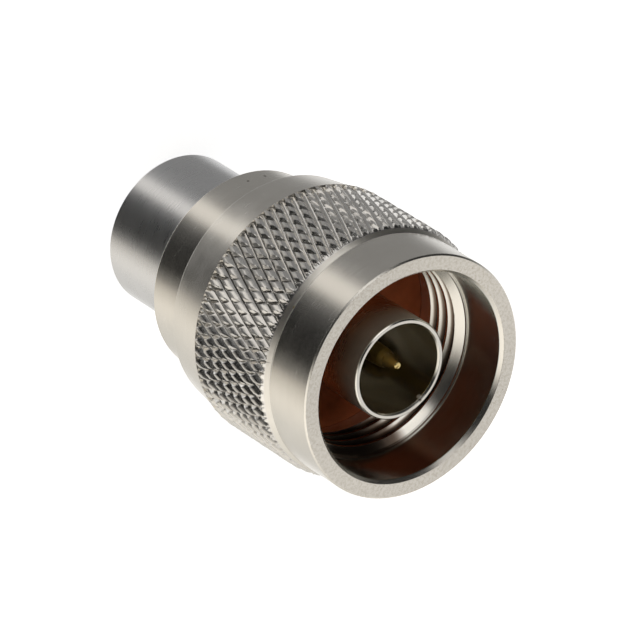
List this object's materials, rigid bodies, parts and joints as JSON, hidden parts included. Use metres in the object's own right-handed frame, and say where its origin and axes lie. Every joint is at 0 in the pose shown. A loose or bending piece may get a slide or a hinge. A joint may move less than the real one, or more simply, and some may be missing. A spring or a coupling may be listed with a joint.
{
  "type": "n type coaxial plug termination",
  "caption": "Coaxial plug of N type with a knurled coupling nut that turns on a plain round body, a gold centre pin in a thin outer contact, a red face gasket and a closed plain tail.",
  "frame": {"origin": "centre of the flat rear end, on the axis", "axes": "+Z along the connector's axis, out of the mating mouth; X and Y are any two directions across it"},
  "size_m": [0.02, 0.02, 0.03],
  "materials": {
    "nickel": "nickel plated brass, fine turned satin, knurled grip",
    "contact_nickel": "nickel plated brass, bright turned",
    "steel": "passivated stainless steel, satin turned",
    "spring_steel": "spring steel",
    "gold": "gold plated",
    "silicone": "matt silicone rubber",
    "bead_plastic": "white low-loss plastic",
    "ceramic": "glazed ceramic"
  },
  "bodies": {
    "plug_body": {"housing": "steel", "front_body": "contact_nickel", "face_gasket": "silicone", "snap_ring": "spring_steel", "centre_contact": "gold", "support_bead": "bead_plastic", "load_resistor": "ceramic", "ground_contact": "gold", "end_plug": "steel"},
    "nut": {"coupling_nut": "nickel"}
  },
  "joints": [
    {"name": "nut_turn", "type": "hinge", "parent": "plug_body", "child": "nut", "pos_m": [0, 0, 0.02], "axis": [0, 0, 1], "continuous": true}
  ]
}
